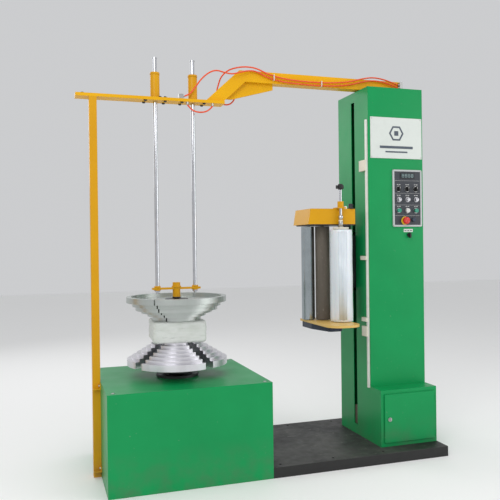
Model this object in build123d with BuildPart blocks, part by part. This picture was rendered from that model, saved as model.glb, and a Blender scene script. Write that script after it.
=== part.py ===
from build123d import *
from math import acos, atan2, cos, degrees, hypot, pi, radians, sin, tan
import os

os.makedirs("parts", exist_ok=True)

# A wrapping machine for coils and cores, in millimetres. +Z is up and -Y is the front.
# The origin is on the floor, under the middle of the whole machine.

# Base box under the turntable, and the skid that joins it to the column
BASE_X0 = -850
BASE_W = 800
BASE_D = 720
BASE_H = 475
BASE_WALL = 4
SKID_X0 = BASE_X0 + BASE_W
SKID_X1 = 953
SKID_H = 53
SKID_SHEET = 6
ANCHOR_R = 7
ANCHOR_X = (0, 290, 580)
ANCHOR_Y = 320

# Column, its slot and the cabinet at its foot
COL_X0 = 605
COL_W = 345
COL_Y0 = -149
COL_D = 368
COL_TOP = 2023
COL_WALL = 4
COL_X1 = COL_X0 + COL_W
COL_Y1 = COL_Y0 + COL_D
SLOT_Y0 = 12
SLOT_Y1 = 52
SLOT_Z0 = 108
SLOT_Z1 = 1967
SLOT_MID = (SLOT_Y0 + SLOT_Y1) / 2
CAB_Y0 = -259
CAB_TOP = 358
CAB_WALL = 3
DOOR_X0 = 624
DOOR_X1 = 935
DOOR_Z0 = 76
DOOR_Z1 = 336
DOOR_T = 4
HINGE_X = 939
LATCH_X = 653
LATCH_Z = 202

# Top arm, guide plate and post
ARM_SIDE = 60
ARM_WALL = 4
ARM_Y0 = -15
ARM_Z0 = 2035
ARM_X1 = 907
ARM_Y_MID = ARM_Y0 + ARM_SIDE / 2
ELBOW_TOP_X = -94
ELBOW_LOW_X = -60
PLATE_X0 = -SKID_X1
PLATE_X1 = -185
PLATE_W = 80
PLATE_Z0 = 1903
PLATE_Z1 = 1919
FOOT_X0 = -284
FOOT_X1 = -187
GUSSET_T = 10
GUSSET_X1 = 105
POST_SIDE = 38
POST_WALL = 3
POST_X1 = BASE_X0
POST_Y0 = -PLATE_W / 2

# Turntable axis, chuck jaws, load block and the press above
AXIS_X = -450
JAW_OUT = 35
JAW_RADII = (78, 102, 127, 151, 176, 200, 225)
JAW_TOP = 660
JAW_STEP = 15
JAW_BOTTOM = 537
JAW_ANGLE = -107
JAW_NAMES = ("jaw_front", "jaw_right", "jaw_rear", "jaw_left")
RAIL_W = 40
RAIL_Z1 = 560
RAIL_REACH = 190
CHANNEL_SPARE = 38
HUB_R = 34
SHAFT_R = 30
SHAFT_BOTTOM = 282
BLOCK_SIDE = 276
BLOCK_CORNER = 26
BLOCK_ANGLE = -4
BLOCK_Z0 = 660.5
BLOCK_Z1 = 766.5
CONE_RADII = (126, 152, 184, 213, 230, 260)
CONE_LEVELS = (767, 789, 806, 820, 841, 861, 890)
CONE_ANGLE = -126
CONE_CUT = 7
DISH_R = 236
DISH_FLOOR = 868
SPINDLE_R = 12
ROD_X = 100
ROD_R = 11
ROD_END_R = 8
ROD_Z0 = 905
ROD_Z1 = 2124
SLEEVE_R = 24
SLEEVE_TOP = 2052
BAR_HALF = 127
BAR_Z0 = 925
BAR_Z1 = 935
BOSS_R = 20
BOSS_Z0 = 879
BOSS_Z1 = 961
FIT = 0.05
GAP = 0.3

# Film carriage
HOUSE_X0 = 263
HOUSE_X1 = 532
HOUSE_Y0 = -130
HOUSE_Y1 = 84
HOUSE_Z0 = 1260
HOUSE_Z1 = 1345
HOUSE_FLARE = 14
HOUSE_WALL = 3
TRAY_TOP = 729
TRAY_T = 12
TRAY_Y0 = -336
TRAY_CORNER = 72
TRAY_X0 = 284
TRAY_X1 = 470
GUARD_Z0 = 686
CHROME_XY = (305, 12)
CHROME_R = 37
RUBBER_XY = (376.5, -28)
RUBBER_R = 40
ROLLER_SHAFT_R = 10
ROLL_XY = (432, -150)
ROLL_R = 62
ROLL_LENGTH = 500
CORE_R = 39
CORE_BORE_R = 36
SPIGOT_R = 35.7
BUSH_R = 17
CLAMP_R = 7.5
PLUG_R = 43.5
PLUG_DEPTH = 6
BALL_R = 14
BALL_Z = 1298
GEAR_MODULE = 2
CHROME_TEETH = 32
RUBBER_TEETH = 50
GEAR_Z0 = 1275
GEAR_T = 14
GEAR_LIFT = 1.6
GEAR_DROP = 2.4
GEAR_SHARE = 0.4
MAST_X0 = 548
MAST_X1 = 564
NECK_Y0 = 18
NECK_Y1 = 46
NECK_Z0 = 900
NECK_Z1 = 1200

# Lift drive in the column and turntable drive in the base box
LIFT_X = 780
LIFT_TOP_Z = 1930
LIFT_LOW_Z = 150
LIFT_R = 37
LIFT_SHAFT_R = 10
BEARING_HALF = 28
RAIL_SIDE = 20
RAIL_X0 = 662
DRIVEN_R = 90
DRIVER_R = 36
DRIVER_X = -190
DRIVE_Z0 = 290
DRIVE_T = 10
CHAIN_T = 6

# Control panel on the front of the column
PANEL_X0 = 753
PANEL_X1 = 939
PANEL_Z0 = 1245
PANEL_Z1 = 1565
PANEL_T = 8
FACE_BORDER = 10
KNOB_X = (790, 845, 900)
SELECTOR_Z = 1457
DIAL_Z = 1397
BUTTON_Z = 1336
ESTOP_XZ = (829, 1279)
SMALL_XZ = (882, 1284)
SWITCH_XZ = (857, 1198)
DUCT_PROUD = 10
DUCT_Y1 = -127
BOX_PROUD = 18
STEM_R = 6
HOSE_D = 8


CHROME_GEAR_R = GEAR_MODULE * CHROME_TEETH / 2
RUBBER_GEAR_R = GEAR_MODULE * RUBBER_TEETH / 2
GEAR_LINE = degrees(atan2(RUBBER_XY[1] - CHROME_XY[1], RUBBER_XY[0] - CHROME_XY[0]))
CHROME_PHASE = GEAR_LINE
RUBBER_PHASE = GEAR_LINE + 180 + 180 / RUBBER_TEETH


def save(part, name):
    """Label a finished piece and write it to its own file."""
    part.label = name
    export_step(part, f"parts/{name}.step")


def front(y):
    """A plane facing the front at depth y, with X to the right and Z up."""
    return Plane(origin=(0, y, 0), x_dir=(1, 0, 0), z_dir=(0, -1, 0))


def rect_between(x0, y0, x1, y1, mode=Mode.ADD):
    """A rectangle in the current sketch, from one corner to the other."""
    with Locations(((x0 + x1) / 2, (y0 + y1) / 2)):
        Rectangle(abs(x1 - x0), abs(y1 - y0), mode=mode)


def block(x0, x1, y0, y1, z0, z1, mode=Mode.ADD):
    """A box in the current part, from its lowest to its highest corner."""
    with Locations(((x0 + x1) / 2, (y0 + y1) / 2, (z0 + z1) / 2)):
        Box(x1 - x0, y1 - y0, z1 - z0, mode=mode)


def upright(x, y, radius, z0, z1, mode=Mode.ADD):
    """A vertical cylinder in the current part."""
    with Locations((x, y, (z0 + z1) / 2)):
        Cylinder(radius, z1 - z0, mode=mode)


def along_y(x, z, radius, y0, y1, mode=Mode.ADD):
    """A cylinder in the current part, from front to back."""
    with Locations(Location((x, (y0 + y1) / 2, z), (90, 0, 0))):
        Cylinder(radius, y1 - y0, mode=mode)


def along_x(y, z, radius, x0, x1, mode=Mode.ADD):
    """A cylinder in the current part, from left to right."""
    with Locations(Location(((x0 + x1) / 2, y, z), (0, 90, 0))):
        Cylinder(radius, x1 - x0, mode=mode)


def toothed_disc(tip_r, root_r, teeth, width_share, phase=0):
    """A toothed outline in the current sketch; phase is the first tooth's angle in degrees."""
    pitch = 360 / teeth
    Circle(root_r)
    half_root = radians(pitch * width_share / 2)
    half_tip = half_root * 0.55
    inner_r = root_r - 1
    with BuildLine(mode=Mode.PRIVATE) as tooth:
        Polyline(
            (inner_r * cos(half_root), -inner_r * sin(half_root)),
            (tip_r * cos(half_tip), -tip_r * sin(half_tip)),
            (tip_r * cos(half_tip), tip_r * sin(half_tip)),
            (inner_r * cos(half_root), inner_r * sin(half_root)),
            close=True,
        )
    outline = make_face(tooth.line.edges(), mode=Mode.PRIVATE)
    with PolarLocations(0, teeth, start_angle=phase):
        add(outline)


# ---------------------------------------------------------------- base box and skid
with BuildPart() as base_box:
    block(BASE_X0, SKID_X0, -BASE_D / 2, BASE_D / 2, 0, BASE_H)
    block(
        BASE_X0 + BASE_WALL, SKID_X0 - BASE_WALL, -BASE_D / 2 + BASE_WALL, BASE_D / 2 - BASE_WALL,
        0, BASE_H - BASE_WALL, mode=Mode.SUBTRACT,
    )
    upright(AXIS_X, 0, 65, BASE_H - 2 * BASE_WALL, BASE_H + 1, mode=Mode.SUBTRACT)
save(base_box.part, "base_box")

with BuildPart() as skid_base:
    block(SKID_X0, SKID_X1, -BASE_D / 2, BASE_D / 2, 0, SKID_H)
    block(
        SKID_X0 + SKID_SHEET, SKID_X1 - SKID_SHEET, -BASE_D / 2 + SKID_SHEET, BASE_D / 2 - SKID_SHEET,
        0, SKID_H - SKID_SHEET, mode=Mode.SUBTRACT,
    )
    for rib_x in (145, 435, 700):
        block(rib_x - 5, rib_x + 5, -BASE_D / 2 + 1, BASE_D / 2 - 1, 0, SKID_H - 1)
    for hole_x in ANCHOR_X:
        for hole_y in (-ANCHOR_Y, ANCHOR_Y):
            upright(hole_x, hole_y, ANCHOR_R, SKID_H - 2 * SKID_SHEET, SKID_H + 1, mode=Mode.SUBTRACT)
save(skid_base.part, "skid_base")

# ---------------------------------------------------------------- column and cabinet
with BuildPart() as column:
    block(COL_X0, COL_X1, COL_Y0, COL_Y1, SKID_H, COL_TOP)
    block(
        COL_X0 + COL_WALL, COL_X1 - COL_WALL, COL_Y0 + COL_WALL, COL_Y1 - COL_WALL,
        SKID_H, COL_TOP - COL_WALL, mode=Mode.SUBTRACT,
    )
    block(COL_X0 - 1, COL_X0 + 2 * COL_WALL, SLOT_Y0, SLOT_Y1, SLOT_Z0, SLOT_Z1, mode=Mode.SUBTRACT)
    block(
        PANEL_X0 + 20, PANEL_X1 - 20, COL_Y0 - 1, COL_Y0 + 2 * COL_WALL, PANEL_Z0 + 15, PANEL_Z1 - 20,
        mode=Mode.SUBTRACT,
    )
    along_y(*SWITCH_XZ, STEM_R + FIT, COL_Y0 - 1, COL_Y0 + 2 * COL_WALL, mode=Mode.SUBTRACT)
save(column.part, "column")

with BuildPart() as cabinet:
    block(COL_X0, COL_X1, CAB_Y0, COL_Y0, SKID_H, CAB_TOP)
    block(
        COL_X0 + CAB_WALL, COL_X1 - CAB_WALL, CAB_Y0 + CAB_WALL, COL_Y0 - CAB_WALL,
        SKID_H + CAB_WALL, CAB_TOP - CAB_WALL, mode=Mode.SUBTRACT,
    )
    block(
        DOOR_X0 + 12, DOOR_X1 - 12, CAB_Y0 - 1, CAB_Y0 + 2 * CAB_WALL, DOOR_Z0 + 12, DOOR_Z1 - 12,
        mode=Mode.SUBTRACT,
    )
    for hinge_z in (110, 302):
        block(HINGE_X - 1, HINGE_X + 6, CAB_Y0 - 6, CAB_Y0, hinge_z - 22, hinge_z - 13)
        upright(HINGE_X, CAB_Y0 - 6, 4, hinge_z - 22, hinge_z - 13)
        upright(HINGE_X, CAB_Y0 - 6, 2, hinge_z - 14, hinge_z + 12)
save(cabinet.part, "cabinet")

with BuildPart() as cabinet_door:
    block(DOOR_X0, HINGE_X - 5, CAB_Y0 - 6 - DOOR_T / 2, CAB_Y0 - 6 + DOOR_T / 2, DOOR_Z0, DOOR_Z1)
    block(DOOR_X0, DOOR_X0 + 3, CAB_Y0 - 5, CAB_Y0 - 0.5, DOOR_Z0, DOOR_Z1)
    block(DOOR_X0, DOOR_X1 - 10, CAB_Y0 - 5, CAB_Y0 - 0.5, DOOR_Z0, DOOR_Z0 + 3)
    block(DOOR_X0, DOOR_X1 - 10, CAB_Y0 - 5, CAB_Y0 - 0.5, DOOR_Z1 - 3, DOOR_Z1)
    for hinge_z in (110, 302):
        block(HINGE_X - 6, HINGE_X, CAB_Y0 - 7, CAB_Y0 - 5, hinge_z - 12.5, hinge_z + 12.5)
        upright(HINGE_X, CAB_Y0 - 6, 4, hinge_z - 12.5, hinge_z + 12.5)
        upright(HINGE_X, CAB_Y0 - 6, 2 + FIT, hinge_z - 13, hinge_z + 13, mode=Mode.SUBTRACT)
    along_y(LATCH_X, LATCH_Z, STEM_R + FIT, CAB_Y0 - 12, CAB_Y0, mode=Mode.SUBTRACT)
save(cabinet_door.part, "cabinet_door")

with BuildPart() as door_latch:
    along_y(LATCH_X, LATCH_Z, STEM_R, CAB_Y0 - 9, CAB_Y0 + 13)
    along_y(LATCH_X, LATCH_Z, 11, CAB_Y0 - 13, CAB_Y0 - 8.5)
    block(LATCH_X - 2, LATCH_X + 2, CAB_Y0 - 19, CAB_Y0 - 12, LATCH_Z - 9, LATCH_Z + 9)
    block(LATCH_X - 6, LATCH_X + 6, CAB_Y0 + 9, CAB_Y0 + 12, LATCH_Z - 26, LATCH_Z + 4)
save(door_latch.part, "door_latch")

with BuildPart() as electrical_panel:
    block(620, 932, -156, -152.5, 75, 340)
    for device_x in (645, 700, 755):
        block(device_x, device_x + 44, -208, -155, 235, 315)
    block(820, 915, -225, -155, 190, 330)
    block(640, 800, -200, -155, 165, 185)
    block(645, 905, -190, -155, 100, 130)
save(electrical_panel.part, "electrical_panel")

# ---------------------------------------------------------------- arm, plate and post
with BuildPart() as top_arm:
    with BuildSketch(front(ARM_Y0)) as arm_side:
        with BuildLine():
            Polyline(
                (ARM_X1, ARM_Z0), (ARM_X1, ARM_Z0 + ARM_SIDE), (ELBOW_TOP_X, ARM_Z0 + ARM_SIDE),
                (FOOT_X0, PLATE_Z1), (FOOT_X1, PLATE_Z1), (ELBOW_LOW_X, ARM_Z0), close=True,
            )
        make_face()
    extrude(amount=-ARM_SIDE)
    with BuildSketch(front(ARM_Y0 + ARM_WALL)):
        with BuildLine():
            Polyline(
                (ARM_X1 - ARM_WALL, ARM_Z0 + ARM_WALL), (ARM_X1 - ARM_WALL, ARM_Z0 + ARM_SIDE - ARM_WALL),
                (ELBOW_TOP_X + 3, ARM_Z0 + ARM_SIDE - ARM_WALL), (FOOT_X0 + 11, PLATE_Z1 + ARM_WALL),
                (FOOT_X1 - 5, PLATE_Z1 + ARM_WALL), (ELBOW_LOW_X - 3, ARM_Z0 + ARM_WALL), close=True,
            )
        make_face()
    extrude(amount=-(ARM_SIDE - 2 * ARM_WALL), mode=Mode.SUBTRACT)
    block(COL_X0 + 40, ARM_X1 + 20, ARM_Y0 - 35, ARM_Y0 + ARM_SIDE + 35, COL_TOP, ARM_Z0)
    with BuildSketch(front(ARM_Y_MID - GUSSET_T / 2)):
        with BuildLine():
            Polyline(
                (ELBOW_LOW_X - 6, ARM_Z0 + 2), (GUSSET_X1, ARM_Z0 + 2), (GUSSET_X1, ARM_Z0 - 30),
                (FOOT_X1 + 55, PLATE_Z1 + 21), (FOOT_X1 + 18, PLATE_Z1 + 21), close=True,
            )
        make_face()
    extrude(amount=-GUSSET_T)
save(top_arm.part, "top_arm")

with BuildPart() as guide_plate:
    block(PLATE_X0, PLATE_X1, -PLATE_W / 2, PLATE_W / 2, PLATE_Z0, PLATE_Z1)
    for rod_x in (AXIS_X - ROD_X, AXIS_X + ROD_X):
        upright(rod_x, 0, ROD_R + 1, PLATE_Z0 - 1, PLATE_Z1 + 1, mode=Mode.SUBTRACT)
save(guide_plate.part, "guide_plate")

with BuildPart() as guide_sleeves:
    for rod_x in (AXIS_X - ROD_X, AXIS_X + ROD_X):
        upright(rod_x, 0, SLEEVE_R, PLATE_Z1, SLEEVE_TOP)
        upright(rod_x, 0, ROD_R + FIT, PLATE_Z1 - 1, SLEEVE_TOP + 1, mode=Mode.SUBTRACT)
save(guide_sleeves.part, "guide_sleeves")

with BuildPart() as post:
    block(POST_X1 - POST_SIDE, POST_X1, POST_Y0, POST_Y0 + POST_SIDE, 0, PLATE_Z0)
    block(
        POST_X1 - POST_SIDE + POST_WALL, POST_X1 - POST_WALL, POST_Y0 + POST_WALL,
        POST_Y0 + POST_SIDE - POST_WALL, 4, PLATE_Z0 - 4, mode=Mode.SUBTRACT,
    )
    for lug_z in (30, BASE_H - 35):
        block(POST_X1 - POST_SIDE, POST_X1, POST_Y0 - 24, POST_Y0, lug_z, lug_z + 6)
        block(POST_X1 - 6, POST_X1, POST_Y0 - 24, POST_Y0, lug_z + 5, lug_z + 30)
save(post.part, "post")

# ---------------------------------------------------------------- turntable and lower chuck
with BuildPart() as turntable_bearing:
    upright(AXIS_X, 0, 110, BASE_H, BASE_H + 12)
    upright(AXIS_X, 0, 64, 395, BASE_H)
    upright(AXIS_X, 0, SHAFT_R + FIT, 394, BASE_H + 13, mode=Mode.SUBTRACT)
save(turntable_bearing.part, "turntable_bearing")

with BuildPart() as turntable_hub:
    upright(AXIS_X, 0, SHAFT_R, SHAFT_BOTTOM, 500)
    upright(AXIS_X, 0, 80, 495, JAW_BOTTOM - 8)
    upright(AXIS_X, 0, HUB_R, JAW_BOTTOM - 9, 650)
    with BuildSketch(Plane.XY.offset(JAW_BOTTOM - 9)):
        for turn in range(4):
            angle = radians(JAW_ANGLE + 90 * turn)
            middle = (AXIS_X + RAIL_REACH / 2 * cos(angle), RAIL_REACH / 2 * sin(angle))
            with Locations(Location((*middle, 0), (0, 0, degrees(angle)))):
                Rectangle(RAIL_REACH, RAIL_W)
    extrude(amount=RAIL_Z1 - JAW_BOTTOM + 9)
    with BuildSketch(Plane.XY.offset(DRIVE_Z0)):
        with Locations((AXIS_X, 0)):
            toothed_disc(DRIVEN_R, DRIVEN_R - 6, 30, 0.5)
    extrude(amount=DRIVE_T)
save(turntable_hub.part, "turntable_hub")


def make_jaw(turn, name):
    """One quarter of the stepped chuck, moved out along its own middle line."""
    angle = JAW_ANGLE + 90 * turn
    apex = Vector(AXIS_X + JAW_OUT * cos(radians(angle)), JAW_OUT * sin(radians(angle)))
    with BuildPart() as jaw:
        for step, radius in enumerate(JAW_RADII):
            start, middle, stop = [
                apex + Vector(radius * cos(radians(angle + swing)), radius * sin(radians(angle + swing)))
                for swing in (-45, 0, 45)
            ]
            with BuildSketch(Plane.XY.offset(JAW_BOTTOM)):
                with BuildLine():
                    Line(apex, start)
                    ThreePointArc(start, middle, stop)
                    Line(stop, apex)
                make_face()
            extrude(amount=JAW_TOP - JAW_STEP * step - JAW_BOTTOM)
        upright(AXIS_X, 0, HUB_R + 31, JAW_BOTTOM - 1, JAW_TOP + 1, mode=Mode.SUBTRACT)
        channel = RAIL_REACH + CHANNEL_SPARE
        middle = (AXIS_X + channel / 2 * cos(radians(angle)), channel / 2 * sin(radians(angle)))
        with BuildSketch(Plane.XY.offset(JAW_BOTTOM - 1)):
            with Locations(Location((*middle, 0), (0, 0, angle))):
                Rectangle(channel, RAIL_W + 2 * GAP)
        extrude(amount=RAIL_Z1 - JAW_BOTTOM + 1 + GAP, mode=Mode.SUBTRACT)
    save(jaw.part, name)


for turn, jaw_name in enumerate(JAW_NAMES):
    make_jaw(turn, jaw_name)

with BuildPart() as load_core:
    with BuildSketch(Plane.XY.offset(BLOCK_Z0)):
        with Locations(Location((AXIS_X, 0, 0), (0, 0, BLOCK_ANGLE))):
            RectangleRounded(BLOCK_SIDE, BLOCK_SIDE, BLOCK_CORNER)
    extrude(amount=BLOCK_Z1 - BLOCK_Z0)
    upright(AXIS_X, 0, 60, BLOCK_Z0 - 1, BLOCK_Z1 + 1, mode=Mode.SUBTRACT)
save(load_core.part, "load_core")

with BuildPart() as turntable_motor:
    block(DRIVER_X - 60, DRIVER_X + 60, -60, 60, 345, BASE_H - BASE_WALL)
    along_y(DRIVER_X, 405, 52, 59, 260)
    upright(DRIVER_X, 0, 12 + FIT, 344, 400, mode=Mode.SUBTRACT)
save(turntable_motor.part, "turntable_motor")

with BuildPart() as motor_sprocket:
    upright(DRIVER_X, 0, 12, DRIVE_Z0 - 5, 395)
    with BuildSketch(Plane.XY.offset(DRIVE_Z0)):
        with Locations((DRIVER_X, 0)):
            toothed_disc(DRIVER_R, DRIVER_R - 6, 12, 0.5)
    extrude(amount=DRIVE_T)
save(motor_sprocket.part, "motor_sprocket")


def loop_face(first, second, first_r, second_r, mode=Mode.ADD):
    """The outline of a belt round two wheels, in the current sketch."""
    reach = hypot(second[0] - first[0], second[1] - first[1])
    heading = atan2(second[1] - first[1], second[0] - first[0])
    half = acos((first_r - second_r) / reach)

    def on_wheel(centre, radius, turn):
        return (centre[0] + radius * cos(turn), centre[1] + radius * sin(turn))

    first_up = on_wheel(first, first_r, heading + half)
    first_down = on_wheel(first, first_r, heading - half)
    second_up = on_wheel(second, second_r, heading + half)
    second_down = on_wheel(second, second_r, heading - half)
    with BuildLine(mode=Mode.PRIVATE) as loop:
        Line(first_up, second_up)
        ThreePointArc(second_up, on_wheel(second, second_r, heading), second_down)
        Line(second_down, first_down)
        ThreePointArc(first_down, on_wheel(first, first_r, heading + pi), first_up)
    make_face(loop.line.edges(), mode=mode)


with BuildPart() as drive_chain:
    wheels = ((AXIS_X, 0), (DRIVER_X, 0))
    with BuildSketch(Plane.XY.offset(DRIVE_Z0)):
        loop_face(*wheels, DRIVEN_R + CHAIN_T, DRIVER_R + CHAIN_T)
    extrude(amount=DRIVE_T)
    with BuildSketch(Plane.XY.offset(DRIVE_Z0 - 1)):
        loop_face(*wheels, DRIVEN_R + 1, DRIVER_R + 1)
    extrude(amount=DRIVE_T + 2, mode=Mode.SUBTRACT)
save(drive_chain.part, "drive_chain")

# ---------------------------------------------------------------- press above the turntable
with BuildPart() as upper_cone:
    for level, radius in enumerate(CONE_RADII):
        upright(AXIS_X, 0, radius, CONE_LEVELS[level], CONE_LEVELS[level + 1])
    upright(AXIS_X, 0, DISH_R, DISH_FLOOR, CONE_LEVELS[-1] + 1, mode=Mode.SUBTRACT)
    for turn in (0, 90):
        with BuildSketch(Plane.XY.offset(CONE_LEVELS[0] - 1)):
            with Locations(Location((AXIS_X, 0, 0), (0, 0, CONE_ANGLE + turn))):
                Rectangle(2 * CONE_RADII[-1] + 10, CONE_CUT)
        extrude(amount=CONE_LEVELS[-1] - CONE_LEVELS[0] + 2, mode=Mode.SUBTRACT)
save(upper_cone.part, "upper_cone")

with BuildPart() as cone_spindle:
    upright(AXIS_X, 0, 60, DISH_FLOOR, DISH_FLOOR + 8)
    upright(AXIS_X, 0, SPINDLE_R, DISH_FLOOR + 7, BOSS_Z1 - 6)
save(cone_spindle.part, "cone_spindle")

with BuildPart() as press_bar:
    block(AXIS_X - BAR_HALF, AXIS_X + BAR_HALF, -15, 15, BAR_Z0, BAR_Z1)
    upright(AXIS_X, 0, BOSS_R, BOSS_Z0, BOSS_Z1)
    upright(AXIS_X, 0, SPINDLE_R + FIT, BOSS_Z0 - 1, BOSS_Z1 - 5, mode=Mode.SUBTRACT)
    for rod_x in (AXIS_X - ROD_X, AXIS_X + ROD_X):
        upright(rod_x, 0, ROD_END_R, BAR_Z0 - 1, BAR_Z1 + 1, mode=Mode.SUBTRACT)
save(press_bar.part, "press_bar")

with BuildPart() as guide_rods:
    for rod_x in (AXIS_X - ROD_X, AXIS_X + ROD_X):
        upright(rod_x, 0, ROD_R, BAR_Z1, ROD_Z1)
        upright(rod_x, 0, ROD_END_R, ROD_Z0, BAR_Z1)
        upright(rod_x, 0, ROD_R + 2, ROD_Z1, ROD_Z1 + 6)
        with BuildSketch(Plane.XY.offset(BAR_Z0 - 13)):
            with Locations((rod_x, 0)):
                RegularPolygon(14, 6)
        extrude(amount=13)
save(guide_rods.part, "guide_rods")

# ---------------------------------------------------------------- film carriage
with BuildPart() as carriage_housing:
    with BuildSketch(front(HOUSE_Y0)):
        with BuildLine():
            Polyline(
                (HOUSE_X0 - HOUSE_FLARE, HOUSE_Z0), (HOUSE_X0, HOUSE_Z1), (HOUSE_X1, HOUSE_Z1),
                (HOUSE_X1, HOUSE_Z0), close=True,
            )
        make_face()
    extrude(amount=-(HOUSE_Y1 - HOUSE_Y0))
    fillet(carriage_housing.edges().filter_by(Axis.Z), radius=5)
    block(
        HOUSE_X0 + HOUSE_WALL, HOUSE_X1 - HOUSE_WALL, HOUSE_Y0 + HOUSE_WALL, HOUSE_Y1 - HOUSE_WALL,
        HOUSE_Z0, HOUSE_Z1 - HOUSE_WALL, mode=Mode.SUBTRACT,
    )
    block(ROLL_XY[0] - 22, ROLL_XY[0] + 22, ROLL_XY[1] - 22, HOUSE_Y0 + 30, HOUSE_Z1, HOUSE_Z1 + 6)
    upright(*ROLL_XY, BUSH_R, HOUSE_Z1, HOUSE_Z1 + 38)
    upright(*ROLL_XY, CLAMP_R + FIT, HOUSE_Z1 - 1, HOUSE_Z1 + 40, mode=Mode.SUBTRACT)
save(carriage_housing.part, "carriage_housing")

with BuildPart() as carriage_frame:
    block(
        HOUSE_X0 + HOUSE_WALL, HOUSE_X1 - HOUSE_WALL, HOUSE_Y0 + HOUSE_WALL, HOUSE_Y1 - HOUSE_WALL,
        HOUSE_Z0 - 6, HOUSE_Z0,
    )
    block(HOUSE_X1 - 10, MAST_X1, -10, 70, HOUSE_Z0 - 6, HOUSE_Z0)
    for roller_xy in (CHROME_XY, RUBBER_XY):
        upright(*roller_xy, ROLLER_SHAFT_R + FIT, HOUSE_Z0 - 7, HOUSE_Z0 + 1, mode=Mode.SUBTRACT)
    block(MAST_X0, MAST_X1, -10, 70, TRAY_TOP, HOUSE_Z0)
    block(MAST_X1, 644, NECK_Y0, NECK_Y1, NECK_Z0, NECK_Z1)
    block(640, 652, -60, 124, NECK_Z0 - 20, NECK_Z1 + 20)
    for pad_z in (NECK_Z0 + 10, NECK_Z1 - 10):
        for pad_y in (-38.7, 102.7):
            block(652, 684, pad_y - 8, pad_y + 8, pad_z - 25, pad_z + 25)
save(carriage_frame.part, "carriage_frame")

with BuildPart() as film_tray:
    with BuildSketch(Plane.XY.offset(TRAY_TOP - TRAY_T)):
        rect_between(TRAY_X0, TRAY_Y0, TRAY_X1, HOUSE_Y1)
        fillet(vertices().group_by(Axis.Y)[0], radius=TRAY_CORNER)
    extrude(amount=TRAY_T)
    block(TRAY_X1 - 1, MAST_X1, -10, 70, TRAY_TOP - TRAY_T, TRAY_TOP)
    upright(*ROLL_XY, SPIGOT_R, TRAY_TOP, TRAY_TOP + 8)
    for roller_xy in (CHROME_XY, RUBBER_XY):
        upright(*roller_xy, ROLLER_SHAFT_R + FIT, TRAY_TOP - TRAY_T - 1, TRAY_TOP + 1, mode=Mode.SUBTRACT)
save(film_tray.part, "film_tray")

with BuildPart() as lower_guard:
    with BuildSketch(Plane.XY.offset(GUARD_Z0)) as guard_outline:
        with BuildLine():
            Polyline(
                (TRAY_X0 + 3, 70), (TRAY_X0 + 3, -70), (326, -225), (396, -225), (450, -120), (450, 70),
                close=True,
            )
        make_face()
        fillet(guard_outline.vertices(), radius=14)
    extrude(amount=TRAY_TOP - TRAY_T - GUARD_Z0)
    with BuildSketch(Plane.XY.offset(GUARD_Z0 + 2)):
        offset(guard_outline.sketch_local.face(), amount=-2)
    extrude(amount=TRAY_TOP, mode=Mode.SUBTRACT)
save(lower_guard.part, "lower_guard")

with BuildPart() as chrome_roller:
    upright(*CHROME_XY, CHROME_R, TRAY_TOP + 4, HOUSE_Z0 - 10)
    upright(*CHROME_XY, ROLLER_SHAFT_R, TRAY_TOP - TRAY_T - 4, HOUSE_Z0 + 40)
    with BuildSketch(Plane.XY.offset(GEAR_Z0)):
        with Locations(CHROME_XY):
            toothed_disc(
                CHROME_GEAR_R + GEAR_LIFT, CHROME_GEAR_R - GEAR_DROP, CHROME_TEETH, GEAR_SHARE, CHROME_PHASE,
            )
    extrude(amount=GEAR_T)
save(chrome_roller.part, "chrome_roller")

with BuildPart() as rubber_roller:
    upright(*RUBBER_XY, RUBBER_R, TRAY_TOP + 4, HOUSE_Z0 - 10)
    upright(*RUBBER_XY, ROLLER_SHAFT_R, TRAY_TOP - TRAY_T - 4, HOUSE_Z0 + 40)
    with BuildSketch(Plane.XY.offset(GEAR_Z0)):
        with Locations(RUBBER_XY):
            toothed_disc(
                RUBBER_GEAR_R + GEAR_LIFT, RUBBER_GEAR_R - GEAR_DROP, RUBBER_TEETH, GEAR_SHARE, RUBBER_PHASE,
            )
    extrude(amount=GEAR_T)
save(rubber_roller.part, "rubber_roller")

with BuildPart() as film_roll:
    upright(*ROLL_XY, ROLL_R, TRAY_TOP + 2, TRAY_TOP + 2 + ROLL_LENGTH)
    upright(*ROLL_XY, CORE_R, TRAY_TOP + 0.5, TRAY_TOP + ROLL_LENGTH + 3)
    upright(*ROLL_XY, CORE_BORE_R, TRAY_TOP, TRAY_TOP + ROLL_LENGTH + 4, mode=Mode.SUBTRACT)
save(film_roll.part, "film_roll")

with BuildPart() as core_plug:
    upright(*ROLL_XY, SPIGOT_R, TRAY_TOP + ROLL_LENGTH - PLUG_DEPTH, TRAY_TOP + ROLL_LENGTH + 4)
    upright(*ROLL_XY, PLUG_R, TRAY_TOP + ROLL_LENGTH + 3.5, TRAY_TOP + ROLL_LENGTH + 12.5)
    upright(*ROLL_XY, 11, TRAY_TOP + ROLL_LENGTH + 12, BALL_Z - BALL_R - 1)
save(core_plug.part, "core_plug")

with BuildPart() as clamp_spindle:
    with Locations((*ROLL_XY, BALL_Z)):
        Sphere(BALL_R)
    upright(*ROLL_XY, CLAMP_R, BALL_Z, HOUSE_Z1 + 102)
save(clamp_spindle.part, "clamp_spindle")

with BuildPart() as clamp_knob:
    upright(*ROLL_XY, 12, HOUSE_Z1 + 102, HOUSE_Z1 + 133)
    for lobe in range(3):
        turn = radians(30 + 120 * lobe)
        lobe_xy = (ROLL_XY[0] + 15 * cos(turn), ROLL_XY[1] + 15 * sin(turn))
        upright(*lobe_xy, 10, HOUSE_Z1 + 108, HOUSE_Z1 + 126)
save(clamp_knob.part, "clamp_knob")

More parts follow.
